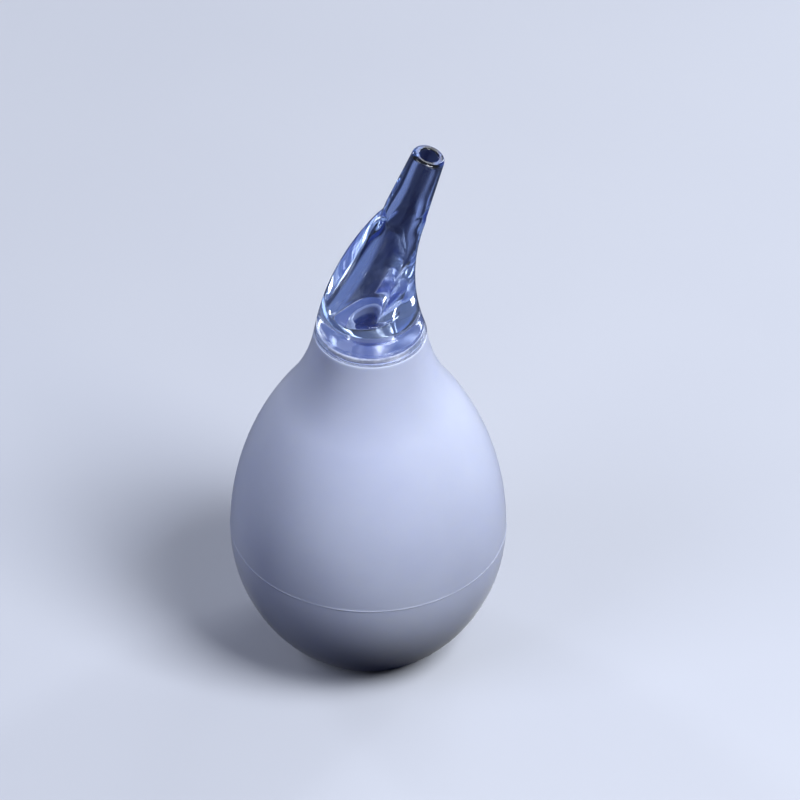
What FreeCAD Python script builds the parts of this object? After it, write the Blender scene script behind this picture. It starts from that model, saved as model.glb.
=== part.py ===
import FreeCAD, Part
import math
import os

import Sketcher
from FreeCAD import Vector

# Bulb nasal aspirator: a one-piece silicone squeeze bulb, a clear guard plate with a chimney that
# plugs into the bulb's mouth, a silicone ring round the plate, and a clear curved nozzle that pushes
# over the ring.  Millimetres.  The origin is the centre of the bulb's flat foot; +Z runs up the bulb's
# axis and the nozzle bends towards +X.

SIZES = {
    # squeeze bulb, outside
    "seam_radius": 27.35,
    "seam_height": 27.2,
    "foot_round": 8.0,
    "lower_arc": 33.5,
    "upper_arc": 58.5,
    "neck_arc": 39.6,
    "rim_radius": 11.15,
    "rim_height": 76.5,
    "rim_round": 0.3,
    "ridge_radius": 0.15,
    # squeeze bulb, inside
    "wall": 2.0,
    "collar_length": 9.0,
    "shoulder_radius": 11.4,
    "mouth_radius": 8.0,
    # backflow guard
    "spigot_radius": 7.95,
    "spigot_bore": 6.6,
    "spigot_length": 11.0,
    "barb_radius": 8.6,
    "barb_gap": 0.1,
    "barb_land": 0.5,
    "lead_radius": 7.6,
    "web_height": 0.3,
    "flange_radius": 9.8,
    "flange_top": 0.2,
    "groove_radius": 8.9,
    "groove_top": 1.1,
    "lip_radius": 9.3,
    "plate_top": 1.3,
    "chimney_foot_radius": 3.8,
    "chimney_rim_radius": 3.5,
    "chimney_bore_foot": 2.95,
    "chimney_bore": 2.75,
    "chimney_top": 4.3,
    "chimney_foot_round": 0.9,
    "chimney_rim_round": 0.3,
    # seal ring
    "ring_inner": 8.95,
    "ring_outer": 9.93,
    "ring_gap": 0.04,
    "ring_round": 0.2,
    # nozzle, outside
    "skirt_radius": 11.1,
    "convex_arc": 63.0,
    "convex_start": 8.0,
    "concave_arc": 47.0,
    "waist_reach": 8.7,
    "waist_height": 15.3,
    "horn_height": 29.5,
    "tip_tilt": 17.5,
    "tip_root_reach": 6.8,
    "tip_root_height": 31.5,
    "tip_root_radius": 4.27,
    "tip_end_radius": 3.31,
    "tip_length": 14.5,
    "tip_overlap": 3.0,
    "tip_round": 0.9,
    # nozzle, inside
    "socket_radius": 9.95,
    "socket_height": 1.5,
    "chamber_radius": 9.3,
    "chamber_step": 0.4,
    "chamber_waist": 7.9,
    "chamber_waist_height": 4.6,
    "chamber_top": 6.6,
    "chamber_round": 3.0,
    "tip_bore": 1.875,
    "bore_straight": 10.0,
    "bore_drop": 34.5,
    "bore_foot": 4.6,
    "bore_round": 0.35,
}

HORN_SECTIONS = 7
OPEN_END = 1.0
ROOT_POINT = -1
LEVEL_AXIS, UPRIGHT_AXIS = -1, -2
START, END, CENTRE = 1, 2, 3


def make_sheet(doc):
    sheet = doc.addObject("Spreadsheet::Sheet", "sizes")
    for row, (alias, value) in enumerate(SIZES.items(), start=1):
        sheet.set(f"A{row}", alias)
        sheet.set(f"B{row}", str(value))
        sheet.setAlias(f"B{row}", alias)
    doc.recompute()
    return sheet


def in_sheet(expression):
    """Write a sum of sheet names, such as 'rim_height + plate_top', the way the document reads it."""
    words = expression.split()
    return " ".join("sizes." + word if word in SIZES else word for word in words)


def value_of(expression):
    """The number that a sum gives before the document is solved."""
    total, sign = 0.0, 1.0
    for word in expression.split():
        if word in "+-":
            sign = 1.0 if word == "+" else -1.0
        else:
            total += sign * (SIZES[word] if word in SIZES else float(word))
    return total


def make_body(doc, label):
    body = doc.addObject("PartDesign::Body", label)
    body.Label = label
    return body


def make_sketch(body, name, role="XZ_Plane"):
    plane = next(part for part in body.Origin.OriginFeatures if part.Role == role)
    sketch = body.newObject("Sketcher::SketchObject", name)
    sketch.AttachmentSupport = [(plane, "")]
    sketch.MapMode = "FlatFace"
    return sketch


def bind(sketch, constraint, expression):
    """Add a dimension whose value follows the sheet."""
    index = sketch.addConstraint(constraint)
    sketch.setExpression(f"Constraints[{index}]", in_sheet(expression))


def pin_point(sketch, edge, corner, across, up):
    """Hold one end of an edge at a distance across and up from the sketch's origin."""
    for kind, expression, axis in (("DistanceX", across, UPRIGHT_AXIS), ("DistanceY", up, LEVEL_AXIS)):
        distance = value_of(expression)
        if distance == 0.0:
            sketch.addConstraint(Sketcher.Constraint("PointOnObject", edge, corner, axis))
        else:
            bind(sketch, Sketcher.Constraint(kind, ROOT_POINT, START, edge, corner, distance), expression)


def draw_polygon(sketch, corners):
    """Draw a closed outline of straight lines; each corner is a pair of sums of sheet names."""
    spots = [Vector(value_of(across), value_of(up), 0) for across, up in corners]
    count = len(spots)
    for index in range(count):
        sketch.addGeometry(Part.LineSegment(spots[index], spots[(index + 1) % count]), False)
    for index in range(count):
        joint = Sketcher.Constraint("Coincident", index, END, (index + 1) % count, START)
        sketch.addConstraint(joint)
    for index, (across, up) in enumerate(corners):
        pin_point(sketch, index, START, across, up)


def revolve(body, sketch, name, cut=False):
    kind = "PartDesign::Groove" if cut else "PartDesign::Revolution"
    feature = body.newObject(kind, name)
    feature.Profile = sketch
    feature.ReferenceAxis = (sketch, ["V_Axis"])
    feature.Angle = 360.0
    body.Document.recompute()
    return feature


def round_edges(body, name, base, radius_name, rings):
    """Round the circular edges of a feature; each ring is a pair of sums for its radius and height."""
    names = []
    for index, edge in enumerate(base.Shape.Edges, start=1):
        if any(is_ring(edge, value_of(radius), value_of(height)) for radius, height in rings):
            names.append(f"Edge{index}")
    assert names, f"{name} found no edge to round"
    return add_fillet(body, name, base, radius_name, names)


def is_ring(edge, radius, height, slack=1e-3):
    if not isinstance(edge.Curve, Part.Circle):
        return False
    on_axis = abs(edge.Curve.Center.x) < slack
    return on_axis and abs(edge.Curve.Radius - radius) < slack and abs(edge.Curve.Center.z - height) < slack


def add_fillet(body, name, base, radius_name, edge_names):
    fillet = body.newObject("PartDesign::Fillet", name)
    fillet.Base = (base, edge_names)
    fillet.setExpression("Radius", in_sheet(radius_name))
    body.Document.recompute()
    return fillet


def arc_between(centre, radius, first, last):
    """An arc of a circle that runs anticlockwise from the first point to the last."""
    circle = Part.Circle(centre, Vector(0, 0, 1), radius)
    turns = [math.atan2(point.y - centre.y, point.x - centre.x) for point in (first, last)]
    return Part.ArcOfCircle(circle, *turns)


def egg_points(inset):
    """Starting places for the egg's arcs at a depth inside its outer skin."""
    belt = Vector(SIZES["seam_radius"] - inset, SIZES["seam_height"], 0)
    lower = SIZES["lower_arc"] - inset
    upper = SIZES["upper_arc"] - inset
    corner = SIZES["foot_round"] - inset
    lower_centre = belt - Vector(lower, 0, 0)
    upper_centre = belt - Vector(upper, 0, 0)
    corner_drop = SIZES["seam_height"] - inset - corner
    reach = math.sqrt((lower - corner) ** 2 - corner_drop ** 2)
    corner_centre = lower_centre + Vector(reach, -corner_drop, 0)
    outward = (corner_centre - lower_centre).normalize()
    return {
        "belt": belt,
        "foot": corner_centre - Vector(0, corner, 0),
        "corner_centre": corner_centre,
        "corner_end": corner_centre + outward * corner,
        "lower_centre": lower_centre,
        "upper_centre": upper_centre,
    }


def draw_egg(sketch, inset, end_across, end_up):
    """Draw foot, corner, lower, upper and neck arcs; returns the neck arc's index."""
    spots = egg_points(value_of(inset))
    deep = value_of(inset)
    neck = SIZES["neck_arc"] + deep
    end = Vector(value_of(end_across), value_of(end_up), 0)
    neck_centre = neck_arc_centre(spots["upper_centre"], SIZES["upper_arc"] - deep + neck, end, neck)
    tangent = spots["upper_centre"] + (neck_centre - spots["upper_centre"]).normalize() * (
        SIZES["upper_arc"] - deep)
    base = Vector(0, spots["foot"].y, 0)
    sketch.addGeometry(Part.LineSegment(base, spots["foot"]), False)
    sketch.addGeometry(arc_between(spots["corner_centre"], SIZES["foot_round"] - deep,
                                   spots["foot"], spots["corner_end"]), False)
    sketch.addGeometry(arc_between(spots["lower_centre"], SIZES["lower_arc"] - deep,
                                   spots["corner_end"], spots["belt"]), False)
    sketch.addGeometry(arc_between(spots["upper_centre"], SIZES["upper_arc"] - deep,
                                   spots["belt"], tangent), False)
    sketch.addGeometry(arc_between(neck_centre, neck, end, tangent), False)
    constrain_egg(sketch, inset, end_across, end_up)


def neck_arc_centre(upper_centre, span, end, neck):
    """Where a circle of the neck's radius touches the upper arc from outside and meets the end point."""
    across = end - upper_centre
    distance = across.Length
    along = (span ** 2 - neck ** 2 + distance ** 2) / (2 * distance)
    aside = math.sqrt(span ** 2 - along ** 2)
    direction = across.normalize()
    return upper_centre + direction * along + Vector(direction.y, -direction.x, 0) * aside


def constrain_egg(sketch, inset, end_across, end_up):
    foot, corner, lower, upper, neck = range(5)
    add = sketch.addConstraint
    pin_point(sketch, foot, START, "0", inset)
    add(Sketcher.Constraint("Horizontal", foot))
    add(Sketcher.Constraint("Tangent", foot, END, corner, START))
    add(Sketcher.Constraint("Tangent", corner, END, lower, START))
    add(Sketcher.Constraint("Coincident", lower, END, upper, START))
    pin_point(sketch, lower, END, "seam_radius - " + inset, "seam_height")
    add(Sketcher.Constraint("Horizontal", lower, CENTRE, lower, END))
    add(Sketcher.Constraint("Horizontal", upper, CENTRE, upper, START))
    add(Sketcher.Constraint("Tangent", upper, END, neck, END))
    pin_point(sketch, neck, START, end_across, end_up)
    radii = {corner: "foot_round - " + inset, lower: "lower_arc - " + inset,
             upper: "upper_arc - " + inset, neck: "neck_arc + " + inset}
    for edge, expression in radii.items():
        bind(sketch, Sketcher.Constraint("Radius", edge, value_of(expression)), expression)


def close_with_lines(sketch, corners):
    """Carry an open egg outline on from the neck arc back to its first point by straight lines."""
    neck, foot = 4, 0
    spots = [Vector(value_of(across), value_of(up), 0) for across, up in corners]
    starts = [sketch.Geometry[neck].StartPoint] + spots
    ends = spots + [sketch.Geometry[foot].StartPoint]
    first = len(sketch.Geometry)
    for start, end in zip(starts, ends):
        sketch.addGeometry(Part.LineSegment(start, end), False)
    last = len(sketch.Geometry) - 1
    sketch.addConstraint(Sketcher.Constraint("Coincident", neck, START, first, START))
    for index in range(first, last):
        sketch.addConstraint(Sketcher.Constraint("Coincident", index, END, index + 1, START))
    sketch.addConstraint(Sketcher.Constraint("Coincident", last, END, foot, START))
    for index, (across, up) in enumerate(corners, start=first):
        pin_point(sketch, index, END, across, up)


def make_squeeze_bulb(doc):
    """A hollow egg with a flat foot, a mould line round its widest part and a thick collar at its mouth."""
    body = make_body(doc, "squeeze_bulb")
    outline = make_sketch(body, "bulb_outline")
    draw_egg(outline, "0", "rim_radius", "rim_height")
    close_with_lines(outline, [("0", "rim_height")])
    shell = revolve(body, outline, "bulb_shell")
    rounded = round_edges(body, "bulb_rim_round", shell, "rim_round", [("rim_radius", "rim_height")])
    solid_volume = rounded.Shape.Volume

    cavity = make_sketch(body, "cavity_outline")
    ledge = "rim_height - collar_length"
    draw_egg(cavity, "wall", "shoulder_radius", ledge)
    close_with_lines(cavity, [("mouth_radius", ledge), ("mouth_radius", "rim_height"), ("0", "rim_height")])
    hollow = revolve(body, cavity, "bulb_cavity", cut=True)
    assert hollow.Shape.Volume < solid_volume, "the cavity cut nothing"

    ridge = make_sketch(body, "ridge_outline")
    belt = Vector(SIZES["seam_radius"], SIZES["seam_height"], 0)
    ridge.addGeometry(Part.Circle(belt, Vector(0, 0, 1), SIZES["ridge_radius"]), False)
    bind(ridge, Sketcher.Constraint("Radius", 0, SIZES["ridge_radius"]), "ridge_radius")
    pin_point(ridge, 0, CENTRE, "seam_radius", "seam_height")
    revolve(body, ridge, "parting_ridge")
    return body


def make_backflow_guard(doc):
    """A clear plate with a chimney above it and a barbed hollow spigot below it."""
    body = make_body(doc, "backflow_guard")
    sketch = make_sketch(body, "guard_outline")
    barb_top = "0 - collar_length - barb_gap"
    draw_polygon(sketch, [
        ("chimney_bore", "chimney_top"),
        ("chimney_bore_foot", "web_height"),
        ("spigot_bore", "web_height"),
        ("spigot_bore", "0 - spigot_length"),
        ("lead_radius", "0 - spigot_length"),
        ("barb_radius", barb_top + " - barb_land"),
        ("barb_radius", barb_top),
        ("spigot_radius", barb_top),
        ("spigot_radius", "0"),
        ("flange_radius", "0"),
        ("flange_radius", "flange_top"),
        ("groove_radius", "flange_top"),
        ("groove_radius", "groove_top"),
        ("lip_radius", "groove_top"),
        ("lip_radius", "plate_top"),
        ("chimney_foot_radius", "plate_top"),
        ("chimney_rim_radius", "chimney_top"),
    ])
    turned = revolve(body, sketch, "guard_turned")
    footed = round_edges(body, "foot_round", turned, "chimney_foot_round",
                         [("chimney_foot_radius", "plate_top")])
    round_edges(body, "rim_round", footed, "chimney_rim_round",
                [("chimney_rim_radius", "chimney_top"), ("chimney_bore", "chimney_top")])
    body.setExpression("Placement.Base.z", in_sheet("rim_height"))
    return body


def make_seal_ring(doc):
    """A soft band in the plate's groove, with rounded edges that press on the nozzle's socket."""
    body = make_body(doc, "seal_ring")
    sketch = make_sketch(body, "ring_outline")
    low, high = "flange_top + ring_gap", "groove_top - ring_gap"
    draw_polygon(sketch, [
        ("ring_inner", low),
        ("ring_outer", low),
        ("ring_outer", high),
        ("ring_inner", high),
    ])
    band = revolve(body, sketch, "ring_band")
    round_edges(body, "ring_edge_round", band, "ring_round", [("ring_outer", low), ("ring_outer", high)])
    body.setExpression("Placement.Base.z", in_sheet("rim_height"))
    return body


def horn_edges(share):
    """Expressions for a section's height and for its convex and concave edges, at a share of the height."""
    height = f"(sizes.horn_height * {share})"
    convex_centre = "(sizes.convex_arc * cos(sizes.convex_start) - sizes.skirt_radius)"
    convex_drop = f"({height} + sizes.convex_arc * sin(sizes.convex_start))"
    convex = f"({convex_centre} - sqrt(sizes.convex_arc ^ 2 - {convex_drop} ^ 2))"
    concave_centre = "(sizes.waist_reach + sizes.concave_arc)"
    concave = f"({concave_centre} - sqrt(sizes.concave_arc ^ 2 - ({height} - sizes.waist_height) ^ 2))"
    return height, convex, concave


def horn_section_values(share):
    """The same three values as plain numbers, to start the sketch near its solution."""
    height = SIZES["horn_height"] * share
    start = math.radians(SIZES["convex_start"])
    bulge, hollow = SIZES["convex_arc"], SIZES["concave_arc"]
    bulge_rise = height + bulge * math.sin(start)
    hollow_rise = height - SIZES["waist_height"]
    convex = bulge * math.cos(start) - SIZES["skirt_radius"] - math.sqrt(bulge ** 2 - bulge_rise ** 2)
    concave = SIZES["waist_reach"] + hollow - math.sqrt(hollow ** 2 - hollow_rise ** 2)
    return height, convex, concave


def make_horn_sections(body):
    """Level circles whose sides lie on the horn's convex arc and on its concave arc."""
    sketches = []
    for index in range(HORN_SECTIONS):
        share = index / (HORN_SECTIONS - 1)
        up, convex, concave = horn_edges(f"{index} / {HORN_SECTIONS - 1}")
        height, left, right = horn_section_values(share)
        sketch = make_sketch(body, f"horn_section_{index + 1}", "XY_Plane")
        sketch.AttachmentOffset = FreeCAD.Placement(Vector(0, 0, height), FreeCAD.Rotation())
        sketch.setExpression("AttachmentOffset.Base.z", up)
        centre, radius = (left + right) / 2, (right - left) / 2
        sketch.addGeometry(Part.Circle(Vector(centre, 0, 0), Vector(0, 0, 1), radius), False)
        sketch.addConstraint(Sketcher.Constraint("PointOnObject", 0, CENTRE, LEVEL_AXIS))
        reach = sketch.addConstraint(Sketcher.Constraint("DistanceX", ROOT_POINT, START, 0, CENTRE, centre))
        sketch.setExpression(f"Constraints[{reach}]", f"({convex} + {concave}) / 2")
        girth = sketch.addConstraint(Sketcher.Constraint("Radius", 0, radius))
        sketch.setExpression(f"Constraints[{girth}]", f"({concave} - {convex}) / 2")
        sketches.append(sketch)
    return sketches


def make_tip_sketch(body, name):
    """A sketch whose upright axis is the tip tube's own axis, with its origin at the tube's root."""
    sketch = make_sketch(body, name)
    tilt = FreeCAD.Rotation(Vector(0, 0, -1), SIZES["tip_tilt"])
    root = Vector(SIZES["tip_root_reach"], SIZES["tip_root_height"], 0)
    sketch.AttachmentOffset = FreeCAD.Placement(root, tilt)
    sketch.setExpression("AttachmentOffset.Base.x", in_sheet("tip_root_reach"))
    sketch.setExpression("AttachmentOffset.Base.y", in_sheet("tip_root_height"))
    sketch.setExpression("AttachmentOffset.Rotation.Angle", in_sheet("tip_tilt"))
    return sketch


def make_nozzle(doc):
    """A thick clear horn with a slim straight tip, hollowed by a socket, a chamber and a flared bore."""
    body = make_body(doc, "nozzle")
    sections = make_horn_sections(body)
    horn = body.newObject("PartDesign::AdditiveLoft", "horn")
    horn.Profile = sections[0]
    horn.Sections = sections[1:]
    doc.recompute()

    tube = make_tip_sketch(body, "tip_outline")
    draw_polygon(tube, [
        ("0", "0 - tip_overlap"),
        ("tip_root_radius", "0 - tip_overlap"),
        ("tip_root_radius", "0"),
        ("tip_end_radius", "tip_length"),
        ("0", "tip_length"),
    ])
    tipped = revolve(body, tube, "tip_tube")
    solid_volume = tipped.Shape.Volume

    chamber = make_sketch(body, "chamber_outline")
    draw_chamber(chamber)
    hollowed = revolve(body, chamber, "chamber", cut=True)
    assert hollowed.Shape.Volume < solid_volume, "the chamber cut nothing"
    chambered = round_edges(body, "chamber_shoulder", hollowed, "chamber_round",
                            [("chamber_waist", "chamber_waist_height")])

    bore = make_tip_sketch(body, "bore_outline")
    waist = "tip_length - bore_straight"
    draw_polygon(bore, [
        ("0", waist + " - bore_drop"),
        ("bore_foot", waist + " - bore_drop"),
        ("tip_bore", waist),
        ("tip_bore", f"tip_length + {OPEN_END}"),
        ("0", f"tip_length + {OPEN_END}"),
    ])
    bored = revolve(body, bore, "tip_bore_cut", cut=True)
    assert bored.Shape.Volume < chambered.Shape.Volume, "the bore cut nothing"
    round_tip(body, bored)
    body.setExpression("Placement.Base.z", in_sheet("rim_height"))
    return body


def draw_chamber(sketch):
    """The socket's straight wall, the chamber's drafted wall and a shallow cone over it."""
    draw_polygon(sketch, [
        ("0", "0"),
        ("socket_radius", "0"),
        ("socket_radius", "socket_height"),
        ("chamber_radius", "socket_height + chamber_step"),
        ("chamber_waist", "chamber_waist_height"),
        ("0", "chamber_top"),
    ])


def round_tip(body, base):
    """Round the tip's end outside and inside, so that nothing sharp meets the skin."""
    outside = add_fillet(body, "tip_end_round", base, "tip_round", [tip_edge(base, "tip_end_radius")])
    add_fillet(body, "tip_bore_round", outside, "bore_round", [tip_edge(outside, "tip_bore")])


def tip_edge(feature, radius_name, slack=1e-3):
    """The name of the circular edge of a given radius that lies highest on the tip."""
    circles = [(edge.Curve.Center.z, f"Edge{index}")
               for index, edge in enumerate(feature.Shape.Edges, start=1)
               if isinstance(edge.Curve, Part.Circle) and abs(edge.Curve.Radius - SIZES[radius_name]) < slack]
    return max(circles)[1]


def check_document(doc):
    for item in doc.Objects:
        failed = {"Invalid", "Error"} & set(item.State)
        assert not failed, f"{item.Label}: {item.State}"


def export_parts(bodies):
    os.makedirs("parts", exist_ok=True)
    for body in bodies:
        shape = body.Shape
        assert not shape.isNull() and shape.isValid(), body.Label
        assert len(shape.Solids) == 1, f"{body.Label} is not one solid"
        shape.exportStep(f"parts/{body.Label}.step")


def main():
    doc = FreeCAD.newDocument("nasal_aspirator")
    make_sheet(doc)
    bodies = [make_squeeze_bulb(doc), make_backflow_guard(doc), make_seal_ring(doc), make_nozzle(doc)]
    doc.recompute()
    check_document(doc)
    export_parts(bodies)


main()
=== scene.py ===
import math

import bpy
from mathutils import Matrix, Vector, noise


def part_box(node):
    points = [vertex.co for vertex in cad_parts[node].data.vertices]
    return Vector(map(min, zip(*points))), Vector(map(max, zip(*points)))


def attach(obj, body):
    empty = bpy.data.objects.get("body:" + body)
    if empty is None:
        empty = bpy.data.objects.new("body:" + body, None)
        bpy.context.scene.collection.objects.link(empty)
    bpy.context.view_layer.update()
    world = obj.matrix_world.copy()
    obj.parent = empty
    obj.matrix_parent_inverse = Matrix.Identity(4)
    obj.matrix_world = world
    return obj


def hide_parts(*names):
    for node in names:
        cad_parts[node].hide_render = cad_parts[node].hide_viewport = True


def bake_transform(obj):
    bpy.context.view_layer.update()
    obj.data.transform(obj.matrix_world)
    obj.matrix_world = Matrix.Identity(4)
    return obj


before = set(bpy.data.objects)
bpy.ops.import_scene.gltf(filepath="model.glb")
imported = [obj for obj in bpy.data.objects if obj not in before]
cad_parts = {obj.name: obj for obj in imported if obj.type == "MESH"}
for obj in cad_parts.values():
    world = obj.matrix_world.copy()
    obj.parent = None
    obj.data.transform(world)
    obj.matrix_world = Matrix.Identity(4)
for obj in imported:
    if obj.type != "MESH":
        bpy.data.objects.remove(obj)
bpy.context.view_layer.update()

# Bulb nasal aspirator.  Sizes are in millimetres until a mesh is made, and heights above the bulb's
# rim are counted from the rim's own level.

MM = 0.001
TURN = 2.0 * math.pi
BULB_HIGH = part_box("squeeze_bulb")[1]
RIM_HEIGHT = BULB_HIGH[2] / MM
BELT_RADIUS = BULB_HIGH[0] / MM

AROUND_BULB = 288
AROUND_CLEAR = 224
ON_AXIS = 1e-6

# ---------------------------------------------------------------- outlines in the (radius, height) plane


def arc(centre, radius, first, last, count):
    """Points on a circle between two angles in degrees, both ends included."""
    angles = [math.radians(first + (last - first) * step / count) for step in range(count + 1)]
    return [(centre[0] + radius * math.cos(a), centre[1] + radius * math.sin(a)) for a in angles]


def line(first, last, count):
    """Points along a straight stretch, both ends included."""
    return [tuple(f + (l - f) * step / count for f, l in zip(first, last)) for step in range(count + 1)]


def rounded(corners, radii, steps=6):
    """An open outline through corners, each inner corner cut by a smooth curve of about its radius."""
    points = [corners[0]]
    for before, corner, after, radius in zip(corners, corners[1:], corners[2:], radii):
        if radius <= 0.0:
            points.append(corner)
            continue
        start = towards(corner, before, radius)
        end = towards(corner, after, radius)
        points += [bezier(start, corner, end, step / steps) for step in range(steps + 1)]
    return points + [corners[-1]]


def towards(corner, other, distance):
    """A point at a distance from a corner towards another, but no more than halfway."""
    span = math.dist(corner, other)
    share = min(distance / span, 0.5)
    return tuple(c + (o - c) * share for c, o in zip(corner, other))


def bezier(start, corner, end, share):
    """A point on the quadratic curve that rounds a corner."""
    near, far = (1.0 - share) ** 2, share ** 2
    middle = 2.0 * share * (1.0 - share)
    return tuple(near * s + middle * c + far * e for s, c, e in zip(start, corner, end))


def subdivided(points, longest):
    """The same outline with no stretch longer than the given length."""
    dense = [points[0]]
    for first, last in zip(points, points[1:]):
        count = max(1, math.ceil(math.dist(first, last) / longest))
        dense += line(first, last, count)[1:]
    return dense


# ---------------------------------------------------------------- meshes


def mesh_from_rings(name, rings, closed):
    """A smooth mesh through rings of points, where one point is a pole; closed joins last to first."""
    verts, starts = [], []
    for ring in rings:
        starts.append((len(verts), len(ring)))
        verts += ring
    faces = []
    pairs = list(zip(starts, starts[1:]))
    if closed:
        pairs.append((starts[-1], starts[0]))
    for lower, upper in pairs:
        faces += strip(lower, upper)
    mesh = bpy.data.meshes.new(name)
    mesh.from_pydata([tuple(v) for v in verts], [], faces)
    mesh.polygons.foreach_set("use_smooth", [True] * len(faces))
    mesh.validate()
    mesh.update()
    piece = bpy.data.objects.new(name, mesh)
    bpy.context.scene.collection.objects.link(piece)
    return piece


def strip(lower, upper):
    """Faces between two rings, each given by its first vertex and its count."""
    first, many = lower
    other, others = upper
    faces = []
    for step in range(max(many, others)):
        after = (step + 1) % max(many, others)
        if many == 1:
            faces.append((first, other + after, other + step))
        elif others == 1:
            faces.append((first + step, first + after, other))
        else:
            faces.append((first + step, first + after, other + after, other + step))
    return faces


def lathe(name, outline, around, lift=0.0, closed=True, swell=None):
    """Turn an outline about the Z axis; swell may push a point outwards by (radius, height, angle)."""
    rings = []
    for radius, height in outline:
        if radius <= ON_AXIS:
            rings.append([Vector((0, 0, (height + lift) * MM))])
            continue
        ring = []
        for step in range(around):
            angle = TURN * step / around
            reach = radius + (swell(radius, height, angle) if swell else 0.0)
            ring.append(Vector((reach * math.cos(angle), reach * math.sin(angle), height + lift)) * MM)
        rings.append(ring)
    return mesh_from_rings(name, rings, closed)


# ---------------------------------------------------------------- squeeze bulb

RIDGE = 0.15
SEAM_RADIUS = BELT_RADIUS - RIDGE
SEAM_HEIGHT = 27.2
FOOT_ROUND = 8.0
LOWER_ARC = 33.5
UPPER_ARC = 58.5
NECK_ARC = 39.6
NECK_RADIUS = 11.15
RIM_CUT = 0.3
MOUTH_CUT = 0.25
WALL = 2.0
COLLAR = 9.0
MOUTH = 8.0
SHOULDER = 11.4
RIDGE_HALF = 0.24
RIDGE_CLEAR = RIDGE_HALF * 1.2
RIDGE_PATCHES = 4.0
RIDGE_MEAN = 0.5
RIDGE_SWING = 0.6
FOOT_STEPS, CORNER_STEPS, LOWER_STEPS, UPPER_STEPS, NECK_STEPS = 14, 16, 46, 56, 26
BELT_STEPS = 12
RIM_MESH = 0.8


def egg(inset, end):
    """The egg's halves below and above its belt, up to an end point on the neck, at a depth inside."""
    lower, upper = LOWER_ARC - inset, UPPER_ARC - inset
    corner, neck = FOOT_ROUND - inset, NECK_ARC + inset
    belt = SEAM_RADIUS - inset
    low_centre = (belt - lower, SEAM_HEIGHT)
    high_centre = (belt - upper, SEAM_HEIGHT)
    drop = SEAM_HEIGHT - inset - corner
    corner_centre = (low_centre[0] + math.sqrt((lower - corner) ** 2 - drop ** 2), inset + corner)
    corner_turn = math.degrees(math.atan2(-drop, corner_centre[0] - low_centre[0]))
    neck_centre = touching_circle(high_centre, upper + neck, end, neck)
    lean = math.degrees(math.atan2(neck_centre[1] - high_centre[1], neck_centre[0] - high_centre[0]))
    mouth = math.degrees(math.atan2(end[1] - neck_centre[1], end[0] - neck_centre[0])) % 360.0
    foot = line((0.0, inset), (corner_centre[0], inset), FOOT_STEPS)
    below = arc(corner_centre, corner, -90.0, corner_turn, CORNER_STEPS)
    below += arc(low_centre, lower, corner_turn, 0.0, LOWER_STEPS)[1:]
    above = arc(high_centre, upper, 0.0, lean, UPPER_STEPS)
    above += arc(neck_centre, neck, lean + 180.0, mouth, NECK_STEPS)[1:]
    return foot + below[1:], above


def touching_circle(centre, span, end, radius):
    """Centre of the circle that is span away from one centre and a radius away from the end point."""
    gap = math.dist(centre, end)
    along = (span ** 2 - radius ** 2 + gap ** 2) / (2.0 * gap)
    painted_light_aside = math.sqrt(span ** 2 - along ** 2)
    unit = ((end[0] - centre[0]) / gap, (end[1] - centre[1]) / gap)
    return (centre[0] + unit[0] * along + unit[1] * painted_light_aside, centre[1] + unit[1] * along - unit[0] * painted_light_aside)


def mould_line(radius, height, angle):
    """The raised line where the mould's halves met: it comes and goes a little round the belt."""
    off = (height - SEAM_HEIGHT) / RIDGE_HALF
    if radius < SEAM_RADIUS - WALL / 2 or abs(off) >= 1.0:
        return 0.0
    place = Vector((math.cos(angle), math.sin(angle), 0.0)) * RIDGE_PATCHES
    strength = max(0.0, min(RIDGE_MEAN + RIDGE_SWING * noise.noise(place), 1.0))
    return RIDGE * strength * 0.5 * (1.0 + math.cos(math.pi * off))


def make_bulb():
    """The hollow egg with its mould line, its collar and its open mouth."""
    below, above = egg(0.0, (NECK_RADIUS, RIM_HEIGHT))
    belt_low = (SEAM_RADIUS, SEAM_HEIGHT - RIDGE_HALF)
    belt_high = (SEAM_RADIUS, SEAM_HEIGHT + RIDGE_HALF)
    belt = line(belt_low, belt_high, BELT_STEPS)
    below = [point for point in below if point[1] < SEAM_HEIGHT - RIDGE_CLEAR]
    above = [point for point in above if point[1] > SEAM_HEIGHT + RIDGE_CLEAR]
    inner_below, inner_above = egg(WALL, (SHOULDER, RIM_HEIGHT - COLLAR))
    neck_end = above[-2]
    rim = rounded([neck_end, (NECK_RADIUS, RIM_HEIGHT), (MOUTH, RIM_HEIGHT),
                   (MOUTH, RIM_HEIGHT - COLLAR), (SHOULDER, RIM_HEIGHT - COLLAR), inner_above[-2]],
                  [RIM_CUT, MOUTH_CUT, MOUTH_CUT, 0.0], steps=5)
    inner = list(reversed(inner_below + inner_above[1:-1]))
    outline = below + belt + above[:-1] + subdivided(rim[1:], RIM_MESH) + inner
    return lathe("bulb_skin", outline, AROUND_BULB, closed=False, swell=mould_line)


# ---------------------------------------------------------------- backflow guard and seal ring

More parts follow.
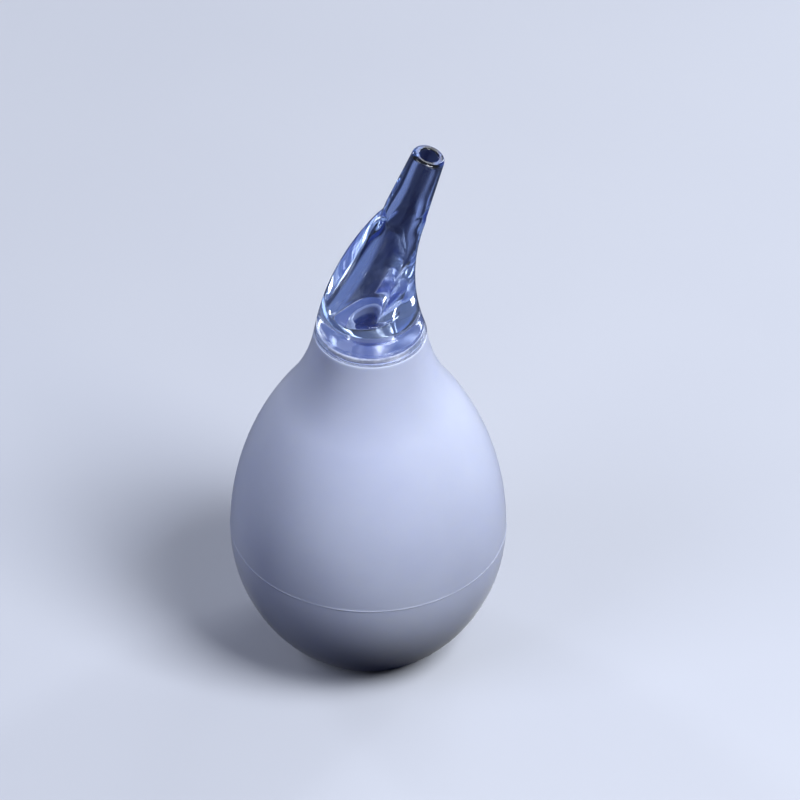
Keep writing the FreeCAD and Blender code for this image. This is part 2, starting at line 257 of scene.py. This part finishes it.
SPIGOT = 7.95
SPIGOT_BORE = 6.6
SPIGOT_END = -11.0
BARB = 8.6
BARB_TOP = -COLLAR - 0.1
BARB_FOOT = BARB_TOP - 0.5
LEAD = 7.6
WEB = 0.3
FLANGE = 9.8
FLANGE_TOP = 0.2
GROOVE = 8.9
GROOVE_TOP = 1.1
LIP = 9.3
PLATE_TOP = 1.3
CHIMNEY_FOOT = 3.8
CHIMNEY_RIM = 3.5
CHIMNEY_BORE_FOOT = 2.95
CHIMNEY_BORE = 2.75
CHIMNEY_TOP = 4.3
RING_INNER = 8.95
RING_OUTER = 9.93
RING_GAP = 0.04
NO_CUT, FINE_CUT, EDGE_CUT, SOFT_CUT = 0.0, 0.05, 0.08, 0.1
BARB_CUT, LEAD_CUT, WEB_CUT = 0.2, 0.3, 0.5
CHIMNEY_RIM_CUT, CHIMNEY_FOOT_CUT = 0.33, 0.75
RING_INNER_CUT, RING_OUTER_CUT = 0.06, 0.2
GUARD_MESH = 0.7
RING_MESH = 0.2


def closed_outline(corners, cuts, longest):
    """A closed outline through corners, each cut back by its own length and rounded."""
    loop = [corners[-1]] + corners + [corners[0]]
    return subdivided(rounded(loop, cuts, steps=8)[1:-1], longest)


def make_guard():
    """The plate with its chimney above, its groove round the edge and its barbed spigot below."""
    shape = [
        (CHIMNEY_RIM, CHIMNEY_TOP, CHIMNEY_RIM_CUT),
        (CHIMNEY_FOOT, PLATE_TOP, CHIMNEY_FOOT_CUT),
        (LIP, PLATE_TOP, EDGE_CUT),
        (LIP, GROOVE_TOP, FINE_CUT),
        (GROOVE, GROOVE_TOP, EDGE_CUT),
        (GROOVE, FLANGE_TOP, EDGE_CUT),
        (FLANGE, FLANGE_TOP, SOFT_CUT),
        (FLANGE, 0.0, EDGE_CUT),
        (SPIGOT, 0.0, SOFT_CUT),
        (SPIGOT, BARB_TOP, NO_CUT),
        (BARB, BARB_TOP, SOFT_CUT),
        (BARB, BARB_FOOT, BARB_CUT),
        (LEAD, SPIGOT_END, LEAD_CUT),
        (SPIGOT_BORE, SPIGOT_END, BARB_CUT),
        (SPIGOT_BORE, WEB, WEB_CUT),
        (CHIMNEY_BORE_FOOT, WEB, BARB_CUT),
        (CHIMNEY_BORE, CHIMNEY_TOP, CHIMNEY_RIM_CUT),
    ]
    corners = [corner[:2] for corner in shape]
    cuts = [corner[2] for corner in shape]
    outline = closed_outline(corners, cuts, GUARD_MESH)
    return lathe("guard_clear", outline, AROUND_CLEAR, lift=RIM_HEIGHT)


def make_seal():
    """The soft band in the plate's groove."""
    low, high = FLANGE_TOP + RING_GAP, GROOVE_TOP - RING_GAP
    corners = [(RING_INNER, low), (RING_OUTER, low), (RING_OUTER, high), (RING_INNER, high)]
    cuts = [RING_INNER_CUT, RING_OUTER_CUT, RING_OUTER_CUT, RING_INNER_CUT]
    outline = closed_outline(corners, cuts, RING_MESH)
    return lathe("seal_band", outline, AROUND_CLEAR, lift=RIM_HEIGHT)


# ---------------------------------------------------------------- nozzle

SKIRT = 11.1
CONVEX_ARC = 63.0
CONVEX_START = math.radians(8.0)
CONCAVE_ARC = 47.0
WAIST_REACH = 8.7
WAIST_HEIGHT = 15.3
HORN_HEIGHT = 29.5
TILT = math.radians(17.5)
ROOT = Vector((6.8, 0.0, 31.5))
ROOT_RADIUS = 4.27
END_RADIUS = 3.31
TIP_LENGTH = 14.5
TIP_ROUND = 0.9
BORE = 1.875
BORE_ROUND = 0.35
BORE_WAIST = 4.5
BORE_DROP = 34.5
BORE_FOOT = 4.6
SOCKET = 9.95
SOCKET_HEIGHT = 1.5
CHAMBER = 9.3
CHAMBER_STEP = 0.4
CHAMBER_WAIST = 7.9
CHAMBER_WAIST_HEIGHT = 4.6
CHAMBER_TOP = 6.6
CHAMBER_CUT = 1.6
CHAMBER_MARGIN = 1.1
CHAMBER_FOOT_CUT, SOCKET_CUT, SKIRT_CUT = 0.2, 0.12, 0.15
SKIRT_EDGE = 0.35
SKIRT_LEAN = 0.05
SKIRT_MESH = 0.6
SHOULDER_DROP = 0.9
SHOULDER_RISE = 0.5
SHOULDER_SOFT_DROP = 4.0
SHOULDER_SOFT_RISE = 3.0
TIP_FACE = 2.0
HORN_STEPS = 52
TIP_STEPS = 26
LEVEL_ROUNDS = 4
MOUTH_ROUNDS = 40

AXIS = Vector((math.sin(TILT), 0.0, math.cos(TILT)))
ACROSS = Vector((math.cos(TILT), 0.0, -math.sin(TILT)))
SIDE = Vector((0.0, 1.0, 0.0))
ANGLES = [TURN * step / AROUND_CLEAR for step in range(AROUND_CLEAR)]


def level_ring(radius, height):
    """A level circle about the bulb's axis."""
    return [Vector((radius * math.cos(a), radius * math.sin(a), height)) for a in ANGLES]


def horn_point(height, angle):
    """A point of the level circle whose ends lie on the horn's convex and concave arcs."""
    start = CONVEX_ARC * math.sin(CONVEX_START)
    bulge_centre = CONVEX_ARC * math.cos(CONVEX_START) - SKIRT
    left = bulge_centre - math.sqrt(CONVEX_ARC ** 2 - (height + start) ** 2)
    right = WAIST_REACH + CONCAVE_ARC - math.sqrt(CONCAVE_ARC ** 2 - (height - WAIST_HEIGHT) ** 2)
    centre, radius = (left + right) / 2.0, (right - left) / 2.0
    return Vector((centre + radius * math.cos(angle), radius * math.sin(angle), height))


def shoulder_reach(crisp, soft, angle):
    """How far the shoulder's rounding reaches: short in the plane of the bend, long front and back."""
    return crisp + (soft - crisp) * math.sin(angle) ** 2


def tip_point(along, radius, angle):
    """A point at a distance along the tip's tilted axis, at a radius and an angle about it."""
    return ROOT + AXIS * along + (ACROSS * math.cos(angle) + SIDE * math.sin(angle)) * radius


def tip_radius(along):
    """The tip's outer radius, which tapers from its root to its end."""
    share = max(along, 0.0) / TIP_LENGTH
    return ROOT_RADIUS + (END_RADIUS - ROOT_RADIUS) * share


def level_cut(height, angle):
    """How far along the tip's axis its skin meets a level plane, at one angle."""
    along = 0.0
    for _ in range(LEVEL_ROUNDS):
        drop = tip_radius(along) * math.cos(angle) * math.sin(TILT)
        along = (height - ROOT.z + drop) / math.cos(TILT)
    return along


def tube_ring(heights):
    """The tip's skin cut at one height for each angle."""
    cuts = [level_cut(height, angle) for height, angle in zip(heights, ANGLES)]
    return [tip_point(along, tip_radius(along), angle) for along, angle in zip(cuts, ANGLES)]


def tube_rings(heights, last_along, count):
    """Rings up the tip, from one height for each angle to a ring that is square to the axis."""
    starts = [level_cut(height, angle) for height, angle in zip(heights, ANGLES)]
    rings = []
    for step in range(count + 1):
        share = step / count
        ring = []
        for start, angle in zip(starts, ANGLES):
            along = start + (last_along - start) * share
            ring.append(tip_point(along, tip_radius(along), angle))
        rings.append(ring)
    return rings


def horn_rings(count):
    """Rings up the horn, from the skirt's edge to where the shoulder starts to round."""
    rings = []
    for step in range(count + 1):
        ring = []
        for angle in ANGLES:
            top = HORN_HEIGHT - shoulder_reach(SHOULDER_DROP, SHOULDER_SOFT_DROP, angle)
            ring.append(horn_point(SKIRT_EDGE + (top - SKIRT_EDGE) * step / count, angle))
        rings.append(ring)
    return rings


def shoulder_rings(lower, corner, inner, upper, count=14):
    """Rings that carry the horn's side over its rounded shoulder and into the tip's skin."""
    rings = []
    for step in range(1, count):
        far = step / count
        near = 1 - far
        weights = [near ** 3, 3 * far * near ** 2, 3 * far ** 2 * near, far ** 3]
        rings.append([a * weights[0] + b * weights[1] + c * weights[2] + d * weights[3]
                      for a, b, c, d in zip(lower, corner, inner, upper)])
    return rings


def tip_outline():
    """The tip's rounded end, from its skin over the end face and into the bore: (along, radius)."""
    start = TIP_LENGTH - TIP_FACE
    corners = [(start, tip_radius(start)), (TIP_LENGTH, END_RADIUS), (TIP_LENGTH, BORE), (start, BORE)]
    return rounded(corners, [TIP_ROUND, BORE_ROUND], steps=10)


def bore_radius(along):
    """The bore's radius: even near the tip's end, and wider towards the chamber."""
    share = max(BORE_WAIST - along, 0.0) / BORE_DROP
    return BORE + (BORE_FOOT - BORE) * share


def ceiling_height(point):
    """Height of the chamber's shallow cone over a point."""
    reach = math.hypot(point.x, point.y)
    return CHAMBER_TOP + (CHAMBER_WAIST_HEIGHT - CHAMBER_TOP) * reach / CHAMBER_WAIST


def bore_mouth(angle):
    """Where the bore's wall runs out through the chamber's ceiling."""
    high, low = BORE_WAIST, BORE_WAIST - BORE_DROP
    for _ in range(MOUTH_ROUNDS):
        middle = (high + low) / 2.0
        point = tip_point(middle, bore_radius(middle), angle)
        if point.z > ceiling_height(point):
            high = middle
        else:
            low = middle
    return (high + low) / 2.0


def bore_rings(count=34):
    """Rings down the bore from the tip's end to the bent line where it opens into the chamber."""
    top = TIP_LENGTH - TIP_FACE
    mouths = [bore_mouth(angle) for angle in ANGLES]
    rings = []
    for step in range(1, count + 1):
        share = step / count
        ring = []
        for angle, mouth in zip(ANGLES, mouths):
            along = top + (mouth - top) * share
            ring.append(tip_point(along, bore_radius(along), angle))
        rings.append(ring)
    return rings


def ceiling_rings(mouth, edge, count=8):
    """Rings out along the ceiling's cone, from the bore's mouth to where it starts to round down."""
    rings = []
    for step in range(1, count):
        share = step / count
        ring = []
        for point, angle in zip(mouth, ANGLES):
            goal = Vector((math.cos(angle), math.sin(angle), 0.0)) * edge
            spot = point.lerp(goal, share)
            spot.z = ceiling_height(spot)
            ring.append(spot)
        rings.append(ring)
    return rings


def skirt_outline():
    """The chamber's round shoulder and wall, the socket and the skirt's foot: (radius, height)."""
    near = CHAMBER_WAIST - CHAMBER_CUT * CHAMBER_MARGIN
    start = (near, CHAMBER_TOP + (CHAMBER_WAIST_HEIGHT - CHAMBER_TOP) * near / CHAMBER_WAIST)
    corners = [start, (CHAMBER_WAIST, CHAMBER_WAIST_HEIGHT), (CHAMBER, SOCKET_HEIGHT + CHAMBER_STEP),
               (SOCKET, SOCKET_HEIGHT), (SOCKET, 0.0), (SKIRT, 0.0), (SKIRT - SKIRT_LEAN, SKIRT_EDGE)]
    cuts = [CHAMBER_CUT, CHAMBER_FOOT_CUT, SOCKET_CUT, SOCKET_CUT, SKIRT_CUT]
    return subdivided(rounded(corners, cuts, steps=10)[1:-1], SKIRT_MESH)


def make_nozzle():
    """The clear horn, its shoulder and tip outside, then its bore, chamber and socket inside."""
    skirt = skirt_outline()
    rings = horn_rings(HORN_STEPS)
    reaches = [shoulder_reach(SHOULDER_RISE, SHOULDER_SOFT_RISE, angle) for angle in ANGLES]
    rises = [HORN_HEIGHT + reach for reach in reaches]
    upper = tube_rings(rises, TIP_LENGTH - TIP_FACE, TIP_STEPS)
    horn_crease = [horn_point(HORN_HEIGHT, angle) for angle in ANGLES]
    tube_crease = tube_ring([HORN_HEIGHT] * AROUND_CLEAR)
    rings += shoulder_rings(rings[-1], horn_crease, tube_crease, upper[0])
    rings += upper
    for along, radius in tip_outline()[1:-1]:
        rings.append([tip_point(along, radius, angle) for angle in ANGLES])
    bore = bore_rings()
    rings += bore
    rings += ceiling_rings(bore[-1], skirt[0][0])
    rings += [level_ring(radius, height) for radius, height in skirt]
    lifted = [[(point + Vector((0.0, 0.0, RIM_HEIGHT))) * MM for point in ring] for ring in rings]
    return mesh_from_rings("nozzle_clear", lifted, closed=True)


# ---------------------------------------------------------------- materials


class Shader:
    """A material's node tree, with short calls to add and join nodes."""

    def __init__(self, name):
        self.material = bpy.data.materials.new(name)
        self.material.use_nodes = True
        self.tree = self.material.node_tree
        self.tree.nodes.clear()
        self.output = self.add("ShaderNodeOutputMaterial")

    def add(self, kind, **values):
        node = self.tree.nodes.new(kind)
        for key, value in values.items():
            setattr(node, key, value)
        return node

    def set(self, node, **values):
        """Set inputs by name; underscores stand for spaces, and a socket is linked."""
        for key, value in values.items():
            socket = node.inputs[key.replace("_", " ")]
            if isinstance(value, bpy.types.NodeSocket):
                self.tree.links.new(value, socket)
            else:
                socket.default_value = value
        return node

    def place(self):
        """The point being shaded, in the object's own space."""
        return self.add("ShaderNodeTexCoord").outputs["Object"]

    def noise(self, scale, detail=3.0, roughness=0.5):
        node = self.add("ShaderNodeTexNoise")
        self.set(node, Vector=self.place(), Scale=scale, Detail=detail, Roughness=roughness)
        return node.outputs["Fac"]

    def ramp(self, value, low, high, to_low=0.0, to_high=1.0):
        """Map a value between two limits to another range, clamped."""
        node = self.add("ShaderNodeMapRange")
        self.set(node, Value=value)
        limits = {"From Min": low, "From Max": high, "To Min": to_low, "To Max": to_high}
        for key, number in limits.items():
            node.inputs[key].default_value = number
        return node.outputs["Result"]

    def mix_colour(self, factor, first, second):
        """From the first colour at 0 to the second at 1."""
        node = self.add("ShaderNodeMix", data_type="RGBA")
        for index, value in ((0, factor), (6, first), (7, second)):
            if isinstance(value, bpy.types.NodeSocket):
                self.tree.links.new(value, node.inputs[index])
            else:
                node.inputs[index].default_value = value
        return node.outputs[2]

    def bump(self, height, distance, strength, base=None):
        """A surface direction tilted by a height, on top of another tilt where one is given."""
        node = self.add("ShaderNodeBump")
        self.set(node, Height=height, Distance=distance, Strength=strength)
        if base is not None:
            self.set(node, Normal=base)
        return node.outputs["Normal"]

    def axis(self, letter):
        """One coordinate of that point."""
        node = self.add("ShaderNodeSeparateXYZ")
        self.set(node, Vector=self.place())
        return node.outputs[letter]

    def ray(self, kind):
        """1 for rays of a kind, such as 'Is Shadow Ray', and 0 for all others."""
        return self.add("ShaderNodeLightPath").outputs[kind]

    def mix_surface(self, factor, first, second):
        """From the first surface at 0 to the second at 1."""
        node = self.add("ShaderNodeMixShader")
        for index, socket in enumerate((factor, first, second)):
            self.tree.links.new(socket, node.inputs[index])
        return node.outputs[0]

    def math(self, operation, first, second=0.0):
        node = self.add("ShaderNodeMath", operation=operation)
        for index, value in enumerate((first, second)):
            if isinstance(value, bpy.types.NodeSocket):
                self.tree.links.new(value, node.inputs[index])
            else:
                node.inputs[index].default_value = value
        return node.outputs[0]


def srgb(red, green, blue):
    """A colour given in 8-bit display values, as the linear values that the nodes use."""
    def linear(value):
        share = value / 255.0
        return share / 12.92 if share <= 0.04045 else ((share + 0.055) / 1.055) ** 2.4
    return (linear(red), linear(green), linear(blue), 1.0)


SILICONE_IOR = 1.41
PLASTIC_IOR = 1.49
SKIN_LOW, SKIN_HIGH = srgb(205, 212, 240), srgb(212, 219, 245)
# Lighter band along the mould line: partly the ridge's paler thin silicone, partly a painted highlight.
SEAM_HIGHLIGHT_COLOUR = srgb(232, 236, 252)
SEAM_HIGHLIGHT_WIDTH = 0.28
SEAM_HIGHLIGHT_SHARE = 0.15
GRAIN_DEPTH = 0.02
RIPPLE_DEPTH = 0.06
SKIN_DEPTH = 1.6


def silicone_material():
    """Matt silicone: soft light under the skin, a fine even grain and faint handling marks."""
    shader = Shader("bulb_silicone")
    cloud = shader.noise(scale=45.0, detail=4.0)
    base = shader.mix_colour(shader.ramp(cloud, low=0.35, high=0.65), SKIN_LOW, SKIN_HIGH)
    # Painted highlight, with the ridge's paler thin silicone: the skin is lightened in a band along the
    # mould line.
    off_seam = shader.math("ABSOLUTE", shader.math("SUBTRACT", shader.axis("Z"), SEAM_HEIGHT * MM))
    seam_highlight = shader.ramp(off_seam, low=0.0, high=SEAM_HIGHLIGHT_WIDTH * MM, to_low=1.0, to_high=0.0)
    base = shader.mix_colour(shader.math("MULTIPLY", seam_highlight, SEAM_HIGHLIGHT_SHARE), base, SEAM_HIGHLIGHT_COLOUR)
    smudges = shader.noise(scale=120.0, detail=6.0, roughness=0.6)
    marks = shader.ramp(smudges, low=0.4, high=0.7, to_low=0.5, to_high=0.6)
    pores = shader.noise(scale=5200.0, detail=2.0)
    grain = shader.bump(pores, distance=GRAIN_DEPTH * MM, strength=0.35)
    waves = shader.noise(scale=320.0, detail=3.0)
    ripple = shader.bump(waves, distance=RIPPLE_DEPTH * MM, strength=0.25, base=grain)
    skin = shader.add("ShaderNodeBsdfPrincipled")
    shader.set(skin, Base_Color=base, Roughness=marks, Normal=ripple, IOR=SILICONE_IOR,
               Subsurface_Weight=0.35, Subsurface_Radius=(1.0, 1.1, 1.4),
               Subsurface_Scale=SKIN_DEPTH * MM, Sheen_Weight=0.4, Sheen_Roughness=0.3)
    shader.set(shader.output, Surface=skin.outputs[0])
    return shader.material


def let_light_in(shader, plastic, tint):
    """Show the plastic to the eye, and let shadow rays through it with a tint."""
    veil = shader.add("ShaderNodeBsdfTransparent")
    shader.set(veil, Color=tint)
    return shader.mix_surface(shader.ray("Is Shadow Ray"), plastic.outputs[0], veil.outputs[0])


CLEAR_ROUGHNESS, SCUFF_ROUGHNESS = 0.03, 0.08
CLEAR_AT_SKIRT, CLEAR_AT_TIP = 0.97, 0.995
HAZE_HEIGHT = 18.0
CLEAR_SHADOW = (0.93, 0.95, 1.0, 1.0)
DEPTH_COLOUR = (0.42, 0.60, 0.86, 1.0)
DEPTH_DENSITY = 42.0


def clear_material():
    """Polished clear plastic: blue where it is thick, scuffed, with a trace of haze near the skirt."""
    shader = Shader("nozzle_plastic")
    scuffs = shader.noise(scale=140.0, detail=5.0, roughness=0.6)
    smear = shader.ramp(scuffs, low=0.45, high=0.75, to_low=CLEAR_ROUGHNESS, to_high=SCUFF_ROUGHNESS)
    waves = shader.noise(scale=160.0, detail=2.0)
    ripple = shader.bump(waves, distance=RIPPLE_DEPTH * MM, strength=0.12)
    skirt, haze_top = RIM_HEIGHT * MM, (RIM_HEIGHT + HAZE_HEIGHT) * MM
    clear = shader.ramp(shader.axis("Z"), skirt, haze_top, to_low=CLEAR_AT_SKIRT, to_high=CLEAR_AT_TIP)
    glass = shader.add("ShaderNodeBsdfPrincipled")
    shader.set(glass, Base_Color=(1.0, 1.0, 1.0, 1.0), Roughness=smear, Normal=ripple, IOR=PLASTIC_IOR,
               Transmission_Weight=clear)
    depth = shader.add("ShaderNodeVolumeAbsorption")
    shader.set(depth, Color=DEPTH_COLOUR, Density=DEPTH_DENSITY)
    surface = let_light_in(shader, glass, CLEAR_SHADOW)
    shader.set(shader.output, Surface=surface, Volume=depth.outputs[0])
    return shader.material


PLATE_BLUE, CHIMNEY_PALE = srgb(24, 68, 160), srgb(206, 212, 230)
PLATE_CLEAR, CHIMNEY_CLEAR = 0.55, 0.25
FROST_FOOT, FROST_FULL = 1.6, 2.6
FROST_FACING = 0.45
GUARD_SHADOW = (0.80, 0.87, 1.0, 1.0)


def guard_material():
    """Moulded plastic with a soft face: a blue plate, and a chimney that is milky towards its edges."""
    shader = Shader("guard_plastic")
    scuffs = shader.noise(scale=220.0, detail=5.0, roughness=0.6)
    smear = shader.ramp(scuffs, low=0.4, high=0.75, to_low=0.20, to_high=0.32)
    pores = shader.noise(scale=900.0, detail=3.0)
    grain = shader.bump(pores, distance=GRAIN_DEPTH * MM, strength=0.25)
    turned = shader.add("ShaderNodeLayerWeight")
    shader.set(turned, Blend=0.35)
    foot, full = (RIM_HEIGHT + FROST_FOOT) * MM, (RIM_HEIGHT + FROST_FULL) * MM
    raised = shader.ramp(shader.axis("Z"), foot, full)
    milky = shader.ramp(turned.outputs["Facing"], low=0.0, high=1.0, to_low=FROST_FACING, to_high=1.0)
    frost = shader.math("MULTIPLY", milky, raised)
    tint = shader.mix_colour(frost, PLATE_BLUE, CHIMNEY_PALE)
    glass = shader.add("ShaderNodeBsdfPrincipled")
    clear = shader.ramp(frost, low=0.0, high=1.0, to_low=PLATE_CLEAR, to_high=CHIMNEY_CLEAR)
    shader.set(glass, Base_Color=tint, Roughness=smear, Normal=grain, IOR=PLASTIC_IOR,
               Transmission_Weight=clear)
    shader.set(shader.output, Surface=let_light_in(shader, glass, GUARD_SHADOW))
    return shader.material


SEAL_DRY, SEAL_WET = srgb(176, 177, 196), srgb(228, 228, 236)
SEAL_GRAIN = 0.03
SEAL_DEPTH = 1.0


def seal_material():
    """Pale silicone pressed against clear plastic: blotchy where it wets the surface."""
    shader = Shader("seal_silicone")
    blotch = shader.ramp(shader.noise(scale=900.0, detail=6.0, roughness=0.65), low=0.42, high=0.6)
    base = shader.mix_colour(blotch, SEAL_DRY, SEAL_WET)
    pores = shader.noise(scale=2500.0, detail=3.0)
    grain = shader.bump(pores, distance=SEAL_GRAIN * MM, strength=0.5)
    skin = shader.add("ShaderNodeBsdfPrincipled")
    shader.set(skin, Base_Color=base, Roughness=0.55, Normal=grain, IOR=SILICONE_IOR,
               Subsurface_Weight=0.3, Subsurface_Radius=(1.0, 1.0, 1.1), Subsurface_Scale=SEAL_DEPTH * MM)
    shader.set(shader.output, Surface=skin.outputs[0])
    return shader.material


# ---------------------------------------------------------------- studio, with its sizes in metres

FLOOR_REACH = 6.0
PAPER_LOW, PAPER_HIGH = srgb(206, 209, 220), srgb(212, 215, 225)
BACKDROP = srgb(203, 208, 221)
FADE_NEAR, FADE_FAR = 0.22, 0.60
# Painted reflection on the floor: painted shade, dark blue, in the middle and painted light, lighter
# blue, at the sides.
PAINTED_LIGHT_NEAR, PAINTED_LIGHT_FAR = 0.045, 0.11
PAINTED_SHADE_MIDDLE, PAINTED_LIGHT_SIDES = srgb(9, 16, 50), srgb(116, 134, 186)
# Painted shade: a near-black floor for the light that bounces onto matt faces.
PAINTED_SHADE_BOUNCE = srgb(10, 12, 22)


def floor_material():
    """Pale paper to the eye, which fades into the backdrop further out.

    Rays that pass through clear plastic or bounce off a shiny face see a painted reflection: painted
    shade, dark blue, in the middle and painted light, lighter blue, at the sides.
    would wash out, in the nozzle and under the bulb.
    """
    shader = Shader("floor_paper")
    cloud = shader.noise(scale=6.0, detail=3.0)
    tone = shader.mix_colour(shader.ramp(cloud, low=0.3, high=0.7), PAPER_LOW, PAPER_HIGH)
    # Painted light at the floor's sides and painted shade in its middle, for rays through clear plastic
    # or off shiny faces.
    painted_light_aside = shader.ramp(shader.math("ABSOLUTE", shader.axis("X")), PAINTED_LIGHT_NEAR, PAINTED_LIGHT_FAR)
    painted_reflection = shader.mix_colour(painted_light_aside, PAINTED_SHADE_MIDDLE, PAINTED_LIGHT_SIDES)
    with_painted_reflection = shader.mix_colour(shader.ray("Is Glossy Ray"), tone, painted_reflection)
    # Painted shade: the floor turns near-black for the rays that light matt faces.
    with_painted_shade = shader.mix_colour(shader.ray("Is Diffuse Ray"), with_painted_reflection, PAINTED_SHADE_BOUNCE)
    paper = shader.add("ShaderNodeBsdfPrincipled")
    shader.set(paper, Base_Color=with_painted_shade, Roughness=0.85, Specular_IOR_Level=0.0)
    distance = shader.add("ShaderNodeVectorMath", operation="LENGTH")
    shader.set(distance, Vector=shader.place())
    far = shader.ramp(distance.outputs["Value"], FADE_NEAR, FADE_FAR)
    sweep = shader.add("ShaderNodeEmission")
    shader.set(sweep, Color=BACKDROP)
    share = shader.math("MULTIPLY", far, shader.ray("Is Camera Ray"))
    shader.set(shader.output, Surface=shader.mix_surface(share, paper.outputs[0], sweep.outputs[0]))
    return shader.material


def make_floor():
    """A wide square of paper, level with the bulb's foot."""
    mesh = bpy.data.meshes.new("floor")
    corners = [(across * FLOOR_REACH, deep * FLOOR_REACH, 0)
               for across, deep in ((-1, -1), (1, -1), (1, 1), (-1, 1))]
    mesh.from_pydata(corners, [], [(0, 1, 2, 3)])
    floor = bpy.data.objects.new("floor", mesh)
    bpy.context.scene.collection.objects.link(floor)
    mesh.materials.append(floor_material())


def aim(thing, target, roll=0.0):
    """Turn a lamp or a camera to face a point, rolled about its own line of sight."""
    direction = Vector(target) - thing.location
    thing.rotation_euler = direction.to_track_quat("-Z", "Y").to_euler()
    thing.rotation_euler.rotate_axis("Z", roll)


LIGHT_TARGET = (0.0, 0.0, 0.06)
COOL = (0.9, 0.94, 1.0)
# name, place and size in metres, power in watts, colour
LIGHTS = [
    ("key_right", (0.42, -0.30, 0.72), (0.40, 0.40), 7.8, (0.93, 0.96, 1.0)),
    ("fill_left", (-0.6, -0.35, 0.60), (0.5, 0.5), 2.2, (0.78, 0.83, 1.0)),
    ("rim_left", (-0.50, 0.55, 0.22), (0.10, 0.5), 1.6, COOL),
    ("rim_right", (0.5, 0.5, 0.22), (0.10, 0.5), 1.8, COOL),
    ("back_high", (0.32, 0.66, 0.52), (0.35, 0.25), 1.0, COOL),
]


def soft_light(name, place, size, power, colour):
    """A rectangular area lamp that faces the object."""
    lamp = bpy.data.lights.new(name, "AREA")
    lamp.shape = "RECTANGLE"
    lamp.size, lamp.size_y = size
    lamp.energy = power
    lamp.color = colour
    thing = bpy.data.objects.new(name, lamp)
    bpy.context.scene.collection.objects.link(thing)
    thing.location = place
    aim(thing, LIGHT_TARGET)


ROOM_COLOUR, ROOM_STRENGTH = (0.50, 0.60, 1.0, 1.0), 0.018
THROUGH_COLOUR, THROUGH_STRENGTH = srgb(120, 140, 190), 0.55


def make_world():
    """A dim room for the light, a blue one for rays out of clear plastic, and a pale one for the eye."""
    world = bpy.data.worlds.new("studio")
    world.use_nodes = True
    tree = world.node_tree
    room = tree.nodes["Background"]
    through = tree.nodes.new("ShaderNodeBackground")
    backdrop = tree.nodes.new("ShaderNodeBackground")
    for node, colour, strength in ((room, ROOM_COLOUR, ROOM_STRENGTH),
                                   (through, THROUGH_COLOUR, THROUGH_STRENGTH),
                                   (backdrop, BACKDROP, 1.0)):
        node.inputs["Color"].default_value = colour
        node.inputs["Strength"].default_value = strength
    rays = tree.nodes.new("ShaderNodeLightPath")
    shown = room.outputs[0]
    for kind, node in (("Is Transmission Ray", through), ("Is Camera Ray", backdrop)):
        join = tree.nodes.new("ShaderNodeMixShader")
        tree.links.new(rays.outputs[kind], join.inputs[0])
        tree.links.new(shown, join.inputs[1])
        tree.links.new(node.outputs[0], join.inputs[2])
        shown = join.outputs[0]
    tree.links.new(shown, tree.nodes["World Output"].inputs["Surface"])
    bpy.context.scene.world = world


CAMERA_ELEVATION = math.radians(40.0)
CAMERA_ROLL = math.radians(0.7)
CAMERA_DISTANCE = 6.60
CAMERA_TARGET = Vector((0.006, 0.0, 0.0590))
CAMERA_LENS, CAMERA_SENSOR = 1503.0, 36.0


def make_camera():
    """A long lens from 40 degrees above, square to the nozzle's bend, with a slight roll."""
    lens = bpy.data.cameras.new("camera")
    lens.lens, lens.sensor_width = CAMERA_LENS, CAMERA_SENSOR
    camera = bpy.data.objects.new("camera", lens)
    bpy.context.scene.collection.objects.link(camera)
    direction = Vector((0.0, -math.cos(CAMERA_ELEVATION), math.sin(CAMERA_ELEVATION)))
    camera.location = CAMERA_TARGET + direction * CAMERA_DISTANCE
    aim(camera, CAMERA_TARGET, CAMERA_ROLL)
    bpy.context.scene.camera = camera


MAX_BOUNCES = 24
TRANSMISSION_BOUNCES = 20


def give(piece, material, node, body=None):
    """Dress a piece, let it stand for its CAD node, and fix it to a body where one is named."""
    piece.data.materials.append(material)
    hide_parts(node)
    if body:
        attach(piece, body)


def make_pieces():
    """The bulb's skin is left free of any body, its placing baked into its mesh, and the others are fixed
    to a body.
    """
    bulb = make_bulb()
    give(bulb, silicone_material(), "squeeze_bulb")
    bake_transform(bulb)
    give(make_guard(), guard_material(), "backflow_guard", "guard")
    give(make_seal(), seal_material(), "seal_ring", "seal")
    give(make_nozzle(), clear_material(), "nozzle", "nozzle")


def set_looks():
    """Enough bounces to see through the nested clear walls, and plain display colours."""
    scene = bpy.context.scene
    scene.view_settings.view_transform = "Standard"
    scene.cycles.max_bounces = MAX_BOUNCES
    scene.cycles.transmission_bounces = TRANSMISSION_BOUNCES
    scene.cycles.transparent_max_bounces = MAX_BOUNCES
    scene.cycles.caustics_refractive = False
    scene.cycles.use_denoising = True


def main():
    make_pieces()
    make_floor()
    for light in LIGHTS:
        soft_light(*light)
    make_world()
    make_camera()
    set_looks()


main()
